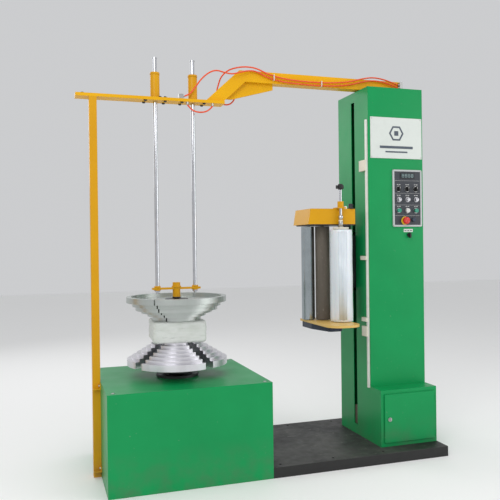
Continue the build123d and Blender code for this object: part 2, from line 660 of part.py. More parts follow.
# ---------------------------------------------------------------- lift drive inside the column
with BuildPart() as guide_rails:
    for rail_y in (-20, 84):
        block(
            RAIL_X0, RAIL_X0 + RAIL_SIDE, rail_y - RAIL_SIDE / 2, rail_y + RAIL_SIDE / 2,
            SKID_H, COL_TOP - COL_WALL,
        )
    for bearing_y in (-30, 85):
        block(
            LIFT_X - BEARING_HALF, LIFT_X + BEARING_HALF, bearing_y, bearing_y + 10,
            LIFT_TOP_Z - BEARING_HALF, COL_TOP - COL_WALL,
        )
    along_y(LIFT_X, LIFT_TOP_Z, LIFT_SHAFT_R + FIT, -31, 96, mode=Mode.SUBTRACT)
save(guide_rails.part, "guide_rails")

lift_wheels = ((LIFT_X, LIFT_LOW_Z), (LIFT_X, LIFT_TOP_Z))
with BuildPart() as lift_chain:
    with BuildSketch(front(SLOT_MID - 6)):
        loop_face(*lift_wheels, LIFT_R + 1 + CHAIN_T, LIFT_R + 1 + CHAIN_T)
    extrude(amount=-12)
    with BuildSketch(front(SLOT_MID - 7)):
        loop_face(*lift_wheels, LIFT_R + 1, LIFT_R + 1)
    extrude(amount=-14, mode=Mode.SUBTRACT)
save(lift_chain.part, "lift_chain")

for wheel_name, wheel_z in (("lift_sprocket_low", LIFT_LOW_Z), ("lift_sprocket_top", LIFT_TOP_Z)):
    with BuildPart() as lift_sprocket:
        with BuildSketch(front(SLOT_MID - 5)):
            with Locations((LIFT_X, wheel_z)):
                toothed_disc(LIFT_R, LIFT_R - 6, 12, 0.5)
        extrude(amount=-10)
        along_y(LIFT_X, wheel_z, LIFT_SHAFT_R, -30, 95)
    save(lift_sprocket.part, wheel_name)

with BuildPart() as lift_motor:
    block(LIFT_X - 55, LIFT_X + 55, 62, 150, 85, 215)
    along_x(106, LIFT_LOW_Z, 38, LIFT_X + 54, LIFT_X + 150)
    block(LIFT_X - 70, LIFT_X + 70, 62, 150, SKID_H, 86)
    along_y(LIFT_X, LIFT_LOW_Z, LIFT_SHAFT_R + FIT, 61, 96, mode=Mode.SUBTRACT)
save(lift_motor.part, "lift_motor")

# ---------------------------------------------------------------- boxes and plates on the column
with BuildPart() as cable_duct:
    block(COL_X0 - DUCT_PROUD, COL_X0, -142, DUCT_Y1, 352, 1840)
save(cable_duct.part, "cable_duct")

with BuildPart() as switch_boxes:
    for box_y1, box_z0, box_z1 in ((-72, 1557, 1617), (-77, 1061, 1083), (-84, 718, 740), (-86, 636, 691)):
        block(COL_X0 - BOX_PROUD, COL_X0, DUCT_Y1 + GAP, box_y1, box_z0, box_z1)
        block(COL_X0 - BOX_PROUD, COL_X0 - DUCT_PROUD, -141, DUCT_Y1 + 2, box_z0, box_z1)
save(switch_boxes.part, "switch_boxes")

with BuildPart() as control_panel:
    block(PANEL_X0, PANEL_X1, COL_Y0 - PANEL_T, COL_Y0, PANEL_Z0, PANEL_Z1)
    fillet(control_panel.edges().filter_by(Axis.Y), radius=8)
    block(
        PANEL_X0 + FACE_BORDER, PANEL_X1 - FACE_BORDER, COL_Y0 - PANEL_T - 1, COL_Y0 + 1,
        PANEL_Z0 + FACE_BORDER, PANEL_Z1 - FACE_BORDER, mode=Mode.SUBTRACT,
    )
save(control_panel.part, "control_panel")

controls = [(knob_x, SELECTOR_Z) for knob_x in KNOB_X]
controls += [(knob_x, DIAL_Z) for knob_x in KNOB_X]
controls += [(knob_x, BUTTON_Z) for knob_x in KNOB_X]
controls += [ESTOP_XZ, SMALL_XZ]
FACE_Y = COL_Y0 - PANEL_T + 2
with BuildPart() as panel_face:
    block(
        PANEL_X0 + FACE_BORDER, PANEL_X1 - FACE_BORDER, FACE_Y, COL_Y0,
        PANEL_Z0 + FACE_BORDER, PANEL_Z1 - FACE_BORDER,
    )
    for control_x, control_z in controls:
        along_y(control_x, control_z, STEM_R + FIT, FACE_Y - 1, COL_Y0 + 1, mode=Mode.SUBTRACT)
save(panel_face.part, "panel_face")

for number, knob_x in enumerate(KNOB_X, start=1):
    with BuildPart() as selector:
        along_y(knob_x, SELECTOR_Z, STEM_R, FACE_Y - 1, FACE_Y + 22)
        along_y(knob_x, SELECTOR_Z, 14, FACE_Y - 6, FACE_Y - 0.5)
        block(knob_x - 4, knob_x + 4, FACE_Y - 18, FACE_Y - 5, SELECTOR_Z - 13, SELECTOR_Z + 13)
    save(selector.part, f"selector_{number}")

    with BuildPart() as dial:
        along_y(knob_x, DIAL_Z, STEM_R, FACE_Y - 1, FACE_Y + 22)
        along_y(knob_x, DIAL_Z, 14, FACE_Y - 4, FACE_Y - 0.5)
        along_y(knob_x, DIAL_Z, 10, FACE_Y - 18, FACE_Y - 3)
    save(dial.part, f"dial_{number}")

    with BuildPart() as push_button:
        along_y(knob_x, BUTTON_Z, STEM_R, FACE_Y - 1, FACE_Y + 16)
        along_y(knob_x, BUTTON_Z, 12, FACE_Y - 12, FACE_Y - 4.5)
        along_y(knob_x, BUTTON_Z, STEM_R, FACE_Y - 6, FACE_Y)
    save(push_button.part, f"push_button_{number}")

with BuildPart() as stop_button:
    along_y(*ESTOP_XZ, STEM_R, FACE_Y - 14, FACE_Y + 16)
    along_y(*ESTOP_XZ, 20, FACE_Y - 26, FACE_Y - 12)
    fillet(stop_button.faces().sort_by(Axis.Y)[0].edges(), radius=6)
save(stop_button.part, "stop_button")

with BuildPart() as small_button:
    along_y(*SMALL_XZ, STEM_R, FACE_Y - 6, FACE_Y + 16)
    along_y(*SMALL_XZ, 11, FACE_Y - 12, FACE_Y - 4.5)
save(small_button.part, "small_button")

with BuildPart() as main_switch:
    along_y(*SWITCH_XZ, STEM_R, COL_Y0 - 1, COL_Y0 + 20)
    along_y(*SWITCH_XZ, 13, COL_Y0 - 8, COL_Y0 - 0.5)
    block(SWITCH_XZ[0] - 4, SWITCH_XZ[0] + 4, COL_Y0 - 20, COL_Y0 - 7, SWITCH_XZ[1] - 16, SWITCH_XZ[1] + 12)
save(main_switch.part, "main_switch")

# ---------------------------------------------------------------- air hoses
with BuildPart() as hose_fittings:
    block(-432, -408, -40, -20, PLATE_Z1, PLATE_Z1 + 24)
    along_x(-30, 1933, 6.5, -409, -402)
    block(875, 893, -42, ARM_Y0, 2042, 2090)
    for nozzle_z in (2058, 2074):
        along_x(-30, nozzle_z, 6.5, 868, 876)
    block(-111, -89, ARM_Y0 + ARM_SIDE, 68, 2008, 2026)
    upright(-100, 58, 6.5, 2003, 2009)
    for fitting_x in (-385, -250):
        upright(fitting_x, -31, 7, PLATE_Z0 - 14, PLATE_Z0)
save(hose_fittings.part, "hose_fittings")


def corner_radii(points):
    """The largest tangent arc that each corner's two runs leave room for."""
    radii = []
    for before, here, after in zip(points, points[1:], points[2:]):
        arriving = Vector(*here) - Vector(*before)
        leaving = Vector(*after) - Vector(*here)
        shorter = min(arriving.length, leaving.length)
        radii.append(0.45 * shorter / tan(radians(arriving.get_angle(leaving)) / 2))
    return radii


def make_hose(points, name):
    """An air hose along straight runs joined by arcs."""
    radii = corner_radii(points)
    with BuildPart() as hose:
        with BuildLine() as route:
            FilletPolyline(*points, radius=radii)
        heading = Vector(*points[1]) - Vector(*points[0])
        with BuildSketch(Plane(origin=points[0], z_dir=heading)):
            Circle(HOSE_D / 2)
        sweep(path=route.line)
    length = sum(edge.length for edge in route.line.edges())
    ideal = pi * HOSE_D ** 2 / 4 * length
    print(f"{name}: length {length:.0f}, volume share {hose.part.volume / ideal:.4f}")
    print("  radii " + " ".join(f"{radius:.0f}" for radius in radii))
    save(hose.part, name)


make_hose(
    [
        (-402, -30, 1933), (-374, -33, 1942), (-346, -40, 1978), (-316, -42, 2022), (-276, -42, 2060),
        (-232, -41, 2080), (-186, -39, 2070), (-140, -38, 2064), (-96, -36, 2078), (-48, -31, 2092),
        (0, -28, 2092), (58, -27, 2064), (135, -27, 2047), (230, -28, 2040), (335, -27, 2038),
        (445, -28, 2041), (550, -27, 2052), (632, -28, 2076), (700, -28, 2090), (765, -29, 2086),
        (818, -30, 2073), (868, -30, 2058),
    ],
    "air_hose_upper",
)
make_hose(
    [
        (868, -30, 2074), (818, -30, 2089), (765, -30, 2102), (700, -31, 2107), (632, -30, 2094),
        (550, -31, 2070), (445, -30, 2058), (335, -31, 2054), (230, -30, 2056), (135, -31, 2064),
        (58, -30, 2082), (0, -30, 2108), (-62, -32, 2112), (-112, -22, 2106), (-150, 12, 2098),
        (-180, 46, 2070), (-192, 64, 2026), (-202, 66, 1986), (-197, 65, 1949), (-170, 64, 1922),
        (-130, 63, 1922), (-103, 61, 1947), (-98, 59, 1978), (-100, 58, 2003),
    ],
    "air_hose_looped",
)
make_hose(
    [
        (-385, -31, 1889), (-370, -33, 1868), (-342, -36, 1852), (-300, -36, 1852), (-268, -33, 1867),
        (-250, -31, 1889),
    ],
    "air_hose_lower",
)
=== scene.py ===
from math import cos, pi, radians, sin

import bmesh
import bpy
from mathutils import Matrix, Vector


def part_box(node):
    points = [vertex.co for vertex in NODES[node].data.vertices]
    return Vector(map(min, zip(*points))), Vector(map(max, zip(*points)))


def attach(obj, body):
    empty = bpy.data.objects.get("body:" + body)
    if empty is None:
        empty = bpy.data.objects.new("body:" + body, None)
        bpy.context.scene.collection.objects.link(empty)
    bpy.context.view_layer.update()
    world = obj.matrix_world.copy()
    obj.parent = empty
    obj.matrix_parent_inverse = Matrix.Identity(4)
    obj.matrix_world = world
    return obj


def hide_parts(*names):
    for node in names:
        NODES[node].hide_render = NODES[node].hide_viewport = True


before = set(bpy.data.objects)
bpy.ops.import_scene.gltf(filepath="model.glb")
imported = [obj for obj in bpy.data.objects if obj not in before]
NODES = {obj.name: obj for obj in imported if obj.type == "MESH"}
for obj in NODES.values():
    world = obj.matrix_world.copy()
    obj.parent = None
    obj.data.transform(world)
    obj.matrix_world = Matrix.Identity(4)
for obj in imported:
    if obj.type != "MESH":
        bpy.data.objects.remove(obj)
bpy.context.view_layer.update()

# ---------------------------------------------------------------- places taken from the frame
COLUMN_LOW, COLUMN_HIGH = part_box("column")
PANEL_LOW, PANEL_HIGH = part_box("panel_face")
PLATE_LOW, PLATE_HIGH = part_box("guide_plate")
POST_LOW, POST_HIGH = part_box("post")
ROLL_LOW, ROLL_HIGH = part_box("film_roll")
BLOCK_LOW, BLOCK_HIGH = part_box("load_core")
HOUSE_LOW, HOUSE_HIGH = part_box("carriage_housing")
CONE_LOW, CONE_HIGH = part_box("upper_cone")
BASE_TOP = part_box("base_box")[1][2]
AXIS_X = (CONE_LOW[0] + CONE_HIGH[0]) / 2
ROLL_X = (ROLL_LOW[0] + ROLL_HIGH[0]) / 2
ROLL_Y = (ROLL_LOW[1] + ROLL_HIGH[1]) / 2

# ---------------------------------------------------------------- places that no box gives, in metres
FLANGE_TOP = 2.035
ARM_FRONT = -0.0152
HOUSE_TOP = 1.345
NECK_FOOT = 1.242
BAR_TOP = 0.935
ROD_REACH = 0.1
ROD_COLLAR_BORE = 0.0112
BOSS_COLLAR_BORE = 0.0202
SLEEVE_COLLAR_BORE = 0.0242
PANEL_FRAME_FRONT = -0.157
CONTROL_XS = (0.790, 0.845, 0.900)
SELECTOR_Z = 1.457
DIAL_Z = 1.397
BUTTON_Z = 1.336
BLOCK_SIDE = 0.276
BLOCK_CORNER = 0.026
HOSE_D = 0.008
JAW_OUT = 0.035

# ---------------------------------------------------------------- turns about the upright axis, in degrees
BLOCK_ANGLE = -4
JAW_ANGLE = -107


# ---------------------------------------------------------------- camera, lights and floor
def build_camera():
    """The eye stands left of the machine, at chest height, and looks a little to the right."""
    yaw = radians(18.1227)
    pitch = radians(0.2587)
    roll = radians(0.7053)
    ahead = Vector((sin(yaw) * cos(pitch), cos(yaw) * cos(pitch), -sin(pitch)))
    level_right = Vector((cos(yaw), -sin(yaw), 0))
    level_down = ahead.cross(level_right)
    right = level_right * cos(roll) + level_down * sin(roll)
    up = right.cross(ahead)
    data = bpy.data.cameras.new("camera")
    data.sensor_width = 36
    data.lens = 46.65
    data.clip_end = 60
    camera = bpy.data.objects.new("camera", data)
    eye = (-1.1383, -3.3523, 1.1407)
    turn = Matrix((right, up, -ahead)).transposed().to_4x4()
    camera.matrix_world = Matrix.Translation(eye) @ turn
    bpy.context.collection.objects.link(camera)
    bpy.context.scene.camera = camera


def area_light(name, place, target, size, power):
    """A square lamp at place, aimed at target."""
    data = bpy.data.lights.new(name, "AREA")
    data.size = size
    data.energy = power
    light = bpy.data.objects.new(name, data)
    light.location = place
    light.rotation_euler = (Vector(target) - Vector(place)).to_track_quat("-Z", "Y").to_euler()
    bpy.context.collection.objects.link(light)


def build_stage():
    """A pale room: an even sky, four soft lamps and a plain floor."""
    world = bpy.data.worlds.new("studio")
    world.use_nodes = True
    background = world.node_tree.nodes["Background"]
    background.inputs["Color"].default_value = (0.97, 0.98, 1.0, 1)
    background.inputs["Strength"].default_value = 0.62
    bpy.context.scene.world = world
    bpy.context.scene.view_settings.view_transform = "Standard"
    area_light("key", (-2.6, -3.8, 3.6), (0, 0, 1.0), 2.6, 78)
    area_light("top", (0.2, -0.6, 4.4), (0, 0, 0.8), 3.0, 34)
    area_light("fill", (3.8, -2.6, 1.8), (0.4, 0, 1.0), 2.4, 40)
    area_light("rear", (-1.6, 3.6, 3.0), (0, 0, 1.2), 2.6, 30)
    mesh = bpy.data.meshes.new("floor")
    reach = 14
    corners = [(-reach, -reach, 0), (reach, -reach, 0), (reach, reach, 0), (-reach, reach, 0)]
    mesh.from_pydata(corners, [], [(0, 1, 2, 3)])
    floor = bpy.data.objects.new("floor", mesh)
    bpy.context.collection.objects.link(floor)
    material = bpy.data.materials.new("floor")
    material.use_nodes = True
    shader = material.node_tree.nodes["Principled BSDF"]
    shader.inputs["Base Color"].default_value = (0.93, 0.93, 0.92, 1)
    shader.inputs["Roughness"].default_value = 0.7
    mesh.materials.append(material)


# ---------------------------------------------------------------- materials
class Finish:
    """A node material under construction."""

    def __init__(self, name, color, rough, metal=0.0):
        self.material = bpy.data.materials.new(name)
        self.material.use_nodes = True
        self.tree = self.material.node_tree
        self.shader = self.tree.nodes["Principled BSDF"]
        self.color = (*color, 1)
        self.shader.inputs["Base Color"].default_value = self.color
        self.shader.inputs["Roughness"].default_value = rough
        self.shader.inputs["Metallic"].default_value = metal
        self.coords = self.tree.nodes.new("ShaderNodeTexCoord").outputs["Object"]
        self.shade = None
        self.normal = None

    def link(self, source, target):
        self.tree.links.new(source, target)

    def stretched(self, scale):
        """The coordinates with each axis scaled by its own amount."""
        mapping = self.tree.nodes.new("ShaderNodeMapping")
        mapping.inputs["Scale"].default_value = scale
        self.link(self.coords, mapping.inputs["Vector"])
        return mapping.outputs["Vector"]

    def noise(self, scale, detail=3.0, vector=None):
        node = self.tree.nodes.new("ShaderNodeTexNoise")
        node.inputs["Scale"].default_value = scale
        node.inputs["Detail"].default_value = detail
        self.link(vector or self.coords, node.inputs["Vector"])
        return node.outputs["Fac"]

    def ramp(self, value, low, high):
        """Turns a value into 0 below low and 1 above high."""
        node = self.tree.nodes.new("ShaderNodeMapRange")
        node.inputs["From Min"].default_value = low
        node.inputs["From Max"].default_value = high
        self.link(value, node.inputs["Value"])
        return node.outputs["Result"]

    def math(self, kind, first, second):
        node = self.tree.nodes.new("ShaderNodeMath")
        node.operation = kind
        for socket, value in zip(node.inputs, (first, second)):
            if isinstance(value, (int, float)):
                socket.default_value = value
            else:
                self.link(value, socket)
        return node.outputs["Value"]

    def tint(self, share, color):
        """Mixes a colour in where share is high."""
        node = self.tree.nodes.new("ShaderNodeMix")
        node.data_type = "RGBA"
        factor, first, second = node.inputs[0], node.inputs[6], node.inputs[7]
        self.link(share, factor)
        if self.shade is None:
            first.default_value = self.color
        else:
            self.link(self.shade, first)
        second.default_value = (*color, 1)
        self.shade = node.outputs[2]
        self.link(self.shade, self.shader.inputs["Base Color"])

    def patches(self, scale, detail, low, high, share, color):
        """Mixes a colour into the peaks of a noise, by share at most."""
        spots = self.ramp(self.noise(scale, detail), low, high)
        self.tint(self.math("MULTIPLY", spots, share), color)

    def rough(self, value, low, high):
        """Spreads the roughness from low to high with a value."""
        node = self.tree.nodes.new("ShaderNodeMapRange")
        node.inputs["To Min"].default_value = low
        node.inputs["To Max"].default_value = high
        self.link(value, node.inputs["Value"])
        self.link(node.outputs["Result"], self.shader.inputs["Roughness"])

    def rounded(self, radius):
        """Catches light along sharp edges, as if they had this radius."""
        node = self.tree.nodes.new("ShaderNodeBevel")
        node.samples = 4
        node.inputs["Radius"].default_value = radius
        self.normal = node.outputs["Normal"]
        self.link(self.normal, self.shader.inputs["Normal"])

    def bump(self, height, strength, distance=0.001):
        node = self.tree.nodes.new("ShaderNodeBump")
        node.inputs["Strength"].default_value = strength
        node.inputs["Distance"].default_value = distance
        self.link(height, node.inputs["Height"])
        if self.normal is not None:
            self.link(self.normal, node.inputs["Normal"])
        self.normal = node.outputs["Normal"]
        self.link(self.normal, self.shader.inputs["Normal"])

    def height_above(self, low, high):
        """0 below low and 1 above high, in metres above the floor."""
        split = self.tree.nodes.new("ShaderNodeSeparateXYZ")
        self.link(self.coords, split.inputs["Vector"])
        return self.ramp(split.outputs["Z"], low, high)

    def ring_distance(self, centre):
        """The distance from an upright axis, in metres."""
        flat = self.tree.nodes.new("ShaderNodeVectorMath")
        flat.operation = "MULTIPLY"
        flat.inputs[1].default_value = (1, 1, 0)
        self.link(self.coords, flat.inputs[0])
        far = self.tree.nodes.new("ShaderNodeVectorMath")
        far.operation = "DISTANCE"
        far.inputs[1].default_value = (*centre, 0)
        self.link(flat.outputs["Vector"], far.inputs[0])
        return far.outputs["Value"]


def paint(name, color, dark, rough=0.34, grime=True):
    """Sprayed enamel: faint clouding, orange peel, a few rubbed specks and dust low down."""
    finish = Finish(name, color, rough)
    finish.rounded(0.0016)
    finish.tint(finish.ramp(finish.noise(3.5, 4), 0.35, 0.95), dark)
    finish.patches(70, 8, 0.7, 0.78, 0.35, (0.3, 0.3, 0.27))
    if grime:
        dust = finish.math("SUBTRACT", 1, finish.height_above(0.02, 0.22))
        patchy = finish.math("MULTIPLY", dust, finish.ramp(finish.noise(14, 6), 0.35, 0.75))
        finish.tint(finish.math("MULTIPLY", patchy, 0.4), (0.13, 0.12, 0.1))
    finish.rough(finish.noise(9, 5), rough - 0.08, rough + 0.12)
    finish.bump(finish.noise(420, 2), 0.05, 0.0004)
    finish.shader.inputs["Coat Weight"].default_value = 0.05
    finish.shader.inputs["Coat Roughness"].default_value = 0.2
    finish.shader.inputs["Specular IOR Level"].default_value = 0.2
    return finish.material


def deck_paint():
    """Black deck paint, scuffed, flecked and dragged grey on its top only."""
    finish = Finish("worn_black_deck", (0.012, 0.012, 0.012), 0.55)
    finish.rounded(0.0016)
    on_top = finish.height_above(0.0505, 0.0525)
    scuffed = finish.math("MULTIPLY", finish.ramp(finish.noise(4, 7), 0.38, 0.72), on_top)
    finish.tint(scuffed, (0.062, 0.06, 0.056))
    flecks = finish.math("MULTIPLY", finish.ramp(finish.noise(34, 9), 0.62, 0.74), on_top)
    finish.tint(finish.math("MULTIPLY", flecks, 0.6), (0.15, 0.145, 0.13))
    drags = finish.ramp(finish.noise(22, 6, finish.stretched((1, 9, 1))), 0.66, 0.74)
    top_drags = finish.math("MULTIPLY", drags, on_top)
    finish.tint(finish.math("MULTIPLY", top_drags, 0.4), (0.2, 0.195, 0.18))
    finish.rough(finish.noise(24, 6), 0.35, 0.75)
    finish.bump(finish.noise(160, 6), 0.25, 0.0006)
    return finish.material


def turned_metal(name, centre, color):
    """Aluminium turned on a lathe: fine rings round its own axis, with handling marks and a painted
    highlight on the ring crests.
    """
    finish = Finish(name, color, 0.3, 1.0)
    finish.rounded(0.0012)
    rings = finish.ring_distance(centre)
    groove = finish.tree.nodes.new("ShaderNodeTexNoise")
    groove.noise_dimensions = "1D"
    groove.inputs["Scale"].default_value = 1500
    finish.link(rings, groove.inputs["W"])
    finish.patches(16, 5, 0.45, 0.8, 0.45, (0.46, 0.45, 0.46))
    # The groove crests are tinted near white: a painted highlight along the turned rings.
    crest_highlight = finish.ramp(groove.outputs["Fac"], 0.5, 0.8)
    finish.tint(finish.math("MULTIPLY", crest_highlight, 0.3), (0.9, 0.9, 0.92))
    finish.rough(groove.outputs["Fac"], 0.2, 0.48)
    finish.bump(groove.outputs["Fac"], 0.22, 0.0004)
    return finish.material


def bare_metal(name, color, rough, streak):
    """Bare or plated metal with fine lines along one axis and a few dull patches."""
    finish = Finish(name, color, rough, 1.0)
    finish.rounded(0.0008)
    lines = finish.noise(26, 4, finish.stretched(streak))
    finish.patches(20, 5, 0.5, 0.85, 0.4, tuple(0.6 * c for c in color))
    finish.rough(lines, max(0.03, rough - 0.06), rough + 0.12)
    finish.bump(lines, 0.06, 0.0003)
    return finish.material


def moulded(name, color, rough=0.42, grain=700, shade=0.75):
    """Moulded plastic: faint darker clouds and a fine grain."""
    finish = Finish(name, color, rough)
    finish.rounded(0.0007)
    finish.patches(30, 5, 0.45, 0.8, 0.5, tuple(shade * c for c in color))
    finish.rough(finish.noise(50, 4), rough - 0.07, rough + 0.12)
    finish.bump(finish.noise(grain, 3), 0.08, 0.0003)
    return finish.material


def ground_rubber():
    """Brown rubber ground round, with upright bands and pale specks."""
    finish = Finish("ground_rubber", (0.105, 0.088, 0.07), 0.72)
    bands = finish.noise(16, 6, finish.stretched((1, 1, 0.15)))
    finish.tint(finish.ramp(bands, 0.42, 0.7), (0.17, 0.145, 0.115))
    finish.patches(90, 8, 0.62, 0.7, 0.5, (0.3, 0.27, 0.22))
    finish.rough(bands, 0.6, 0.85)
    finish.bump(finish.noise(380, 4), 0.25, 0.0004)
    return finish.material


def wound_film():
    """Clear film in many layers, so it reads as milky white with long vertical glints."""
    finish = Finish("wound_film", (0.74, 0.78, 0.81), 0.24)
    streaks = finish.noise(34, 3, finish.stretched((1, 1, 0.04)))
    finish.tint(finish.ramp(streaks, 0.4, 0.75), (0.6, 0.64, 0.69))
    finish.rough(streaks, 0.16, 0.36)
    finish.bump(finish.noise(60, 3, finish.stretched((1, 1, 0.08))), 0.3, 0.0006)
    finish.shader.inputs["Coat Weight"].default_value = 0.3
    finish.shader.inputs["Coat Roughness"].default_value = 0.16
    finish.shader.inputs["Subsurface Weight"].default_value = 0.08
    return finish.material


def soft_wrap():
    """White sheet wrap, a little creased and greyer in places."""
    finish = Finish("soft_wrap", (0.68, 0.70, 0.67), 0.5)
    finish.tint(finish.ramp(finish.noise(18, 5, finish.stretched((1, 1, 3))), 0.4, 0.8), (0.58, 0.61, 0.56))
    finish.rough(finish.noise(40, 4), 0.38, 0.62)
    finish.bump(finish.noise(24, 5, finish.stretched((1, 1, 4))), 0.35, 0.002)
    return finish.material


M = {
    "green": paint("green_enamel", (0.004, 0.30, 0.085), (0.003, 0.24, 0.068)),
    "deck": deck_paint(),
    "yellow": paint("yellow_enamel", (0.80, 0.42, 0.004), (0.66, 0.33, 0.004), grime=False),
    # The yellow enamel darkened by about a sixth for the sleeves, post, press bar, carriage housing and
    # their collars: painted shade.
    "shaded_yellow": paint("yellow_enamel_painted_shade", (0.68, 0.34, 0.006), (0.58, 0.27, 0.005)),
    "chrome": bare_metal("hard_chrome", (0.62, 0.63, 0.66), 0.12, (1, 1, 0.05)),
    # A darker, bluer copy of the hard chrome for the roller: painted dark reflections.
    "chrome_painted_dark_reflection": bare_metal("chrome_painted_dark_reflection", (0.42, 0.47, 0.49), 0.12, (1, 1, 0.05)),
    "dark": bare_metal("dark_steel", (0.07, 0.07, 0.075), 0.42, (1, 1, 6)),
    "zinc": bare_metal("zinc_steel", (0.5, 0.5, 0.49), 0.36, (1, 1, 6)),
    "rubber": ground_rubber(),
    "film": wound_film(),
    "wrap": soft_wrap(),
    "cream": moulded("cream_plastic", (0.74, 0.70, 0.58)),
    "duct": moulded("white_duct", (0.78, 0.77, 0.72)),
    "tray": paint("tan_paint", (0.72, 0.47, 0.14), (0.6, 0.37, 0.1), grime=False),
    # Blue-grey paint made near black for the shade under the carriage's bottom plate: partly its own colour,
    # partly painted shade.
    "guard": paint("blue_grey_paint_and_painted_shade", (0.035, 0.045, 0.07), (0.025, 0.03, 0.05), grime=False),
    "black": moulded("black_plastic", (0.012, 0.012, 0.013), 0.4),
    "grey": paint("light_grey_paint", (0.50, 0.52, 0.52), (0.44, 0.46, 0.46), grime=False),
    "charcoal": moulded("charcoal_face", (0.035, 0.04, 0.05), 0.5, 900),
    "knob": bare_metal("brushed_knob", (0.5, 0.5, 0.52), 0.3, (6, 1, 6)),
    "green_cap": moulded("green_cap", (0.02, 0.26, 0.17), 0.25),
    "white_cap": moulded("white_cap", (0.62, 0.62, 0.6), 0.3),
    "red_cap": moulded("red_cap", (0.62, 0.018, 0.014), 0.28),
    "blue_cap": moulded("blue_black_cap", (0.015, 0.03, 0.06), 0.28),
    "hose": moulded("orange_hose", (0.78, 0.085, 0.02), 0.25, 300, 0.85),
    "motor": paint("motor_grey", (0.1, 0.115, 0.12), (0.07, 0.08, 0.085), grime=False),
    "sign": moulded("pale_plate", (0.66, 0.7, 0.66), 0.36, 500, 0.9),
    "sign_ink": moulded("slate_ink", (0.07, 0.09, 0.12), 0.45),
    "legend": moulded("white_print", (0.62, 0.62, 0.6), 0.5),
    "display": moulded("dark_window", (0.02, 0.035, 0.045), 0.12),
    "digit": moulded("pale_digits", (0.3, 0.42, 0.4), 0.4),
    "stop_yellow": moulded("stop_yellow", (0.8, 0.55, 0.02), 0.4),
    "brown": moulded("brown_block", (0.075, 0.06, 0.035), 0.6),
}

BY_NODE = {
    "green": ("base_box", "column", "cabinet", "cabinet_door"),
    "deck": ("skid_base",),
    "yellow": ("top_arm", "guide_plate"),
    "shaded_yellow": ("guide_sleeves", "post", "press_bar", "carriage_housing"),
    "chrome": ("guide_rods", "clamp_spindle"),
    "chrome_painted_dark_reflection": ("chrome_roller",),
    "dark": (
        "carriage_frame", "cone_spindle", "turntable_hub", "turntable_bearing", "motor_sprocket",
        "drive_chain", "lift_chain", "lift_sprocket_low", "lift_sprocket_top",
    ),
    "zinc": ("guide_rails", "hose_fittings", "door_latch"),
    "rubber": ("rubber_roller",),
    "film": ("film_roll",),
    "wrap": ("load_core",),
    "cream": ("core_plug", "switch_boxes", "electrical_panel"),
    "duct": ("cable_duct",),
    "tray": ("film_tray",),
    "guard": ("lower_guard",),
    "black": ("clamp_knob", "main_switch", "selector_1", "selector_2", "selector_3"),
    "grey": ("control_panel",),
    "charcoal": ("panel_face",),
    "knob": ("dial_1", "dial_2", "dial_3"),
    "green_cap": ("push_button_1", "push_button_3"),
    "white_cap": ("push_button_2",),
    "red_cap": ("stop_button",),
    "blue_cap": ("small_button",),
    "hose": ("air_hose_upper", "air_hose_looped", "air_hose_lower"),
    "motor": ("turntable_motor", "lift_motor"),
}


def dress_frame():
    """Gives every CAD node its finish; each turned piece has rings round its own axis."""
    for key, names in BY_NODE.items():
        for name in names:
            put_on(name, M[key])
    # The cone's colour is darker and greener than the jaws': painted shade and painted green reflections of
    # the machine's green paint.
    put_on("upper_cone", turned_metal("turned_cone_green_reflection", (AXIS_X, 0), (0.52, 0.56, 0.53)))
    for turn, name in enumerate(("jaw_front", "jaw_right", "jaw_rear", "jaw_left")):
        angle = radians(JAW_ANGLE + 90 * turn)
        centre = (AXIS_X + JAW_OUT * cos(angle), JAW_OUT * sin(angle))
        put_on(name, turned_metal(f"turned_{name}", centre, (0.75, 0.74, 0.78)))


def put_on(name, material):
    for slot in NODES[name].material_slots:
        slot.material = material


# ---------------------------------------------------------------- mesh helpers
def piece_from(name, mesh_data, body, material, smooth):
    """Turns a finished bmesh into a piece that rides on a body."""
    mesh = bpy.data.meshes.new(name)
    bmesh.ops.recalc_face_normals(mesh_data, faces=mesh_data.faces)
    mesh_data.to_mesh(mesh)
    mesh_data.free()
    for polygon in mesh.polygons:
        polygon.use_smooth = smooth
    mesh.materials.append(material)
    piece = bpy.data.objects.new(name, mesh)
    bpy.context.collection.objects.link(piece)
    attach(piece, body)
    return piece


def skin(mesh_data, rows, capped=True):
    """Joins rows of corners into a tube; a capped one is closed at both ends."""
    for first, second in zip(rows, rows[1:]):
        for side in range(len(first)):
            after = (side + 1) % len(first)
            mesh_data.faces.new((first[side], first[after], second[after], second[side]))
    if capped:
        mesh_data.faces.new(rows[0])
        mesh_data.faces.new(rows[-1])


def add_box(mesh_data, low, high, bevel=0.0):
    """Adds a box with softened edges to a bmesh."""
    centre = [(a + b) / 2 for a, b in zip(low, high)]
    size = [abs(b - a) for a, b in zip(low, high)]
    made = bmesh.ops.create_cube(mesh_data, size=1.0)["verts"]
    bmesh.ops.scale(mesh_data, vec=size, verts=made)
    bmesh.ops.translate(mesh_data, vec=centre, verts=made)
    if bevel:
        edges = {edge for vert in made for edge in vert.link_edges}
        bmesh.ops.bevel(mesh_data, geom=list(edges), offset=bevel, segments=2, affect="EDGES")


def add_lathe(mesh_data, profile, place, axis="Z", segments=32, hollow=False):
    """Adds a turned form; profile is (radius, height) pairs along the axis from place.
    A hollow one joins the profile's end to its start instead of capping both."""
    rings = []
    for radius, height in profile:
        ring = []
        for step in range(segments):
            turn = 2 * pi * step / segments
            across, up = radius * cos(turn), radius * sin(turn)
            offsets = {"Z": (across, up, height), "Y": (across, -height, up), "X": (height, across, up)}
            ring.append(mesh_data.verts.new([a + b for a, b in zip(place, offsets[axis])]))
        rings.append(ring)
    if hollow:
        rings.append(rings[0])
    skin(mesh_data, rings, capped=not hollow)


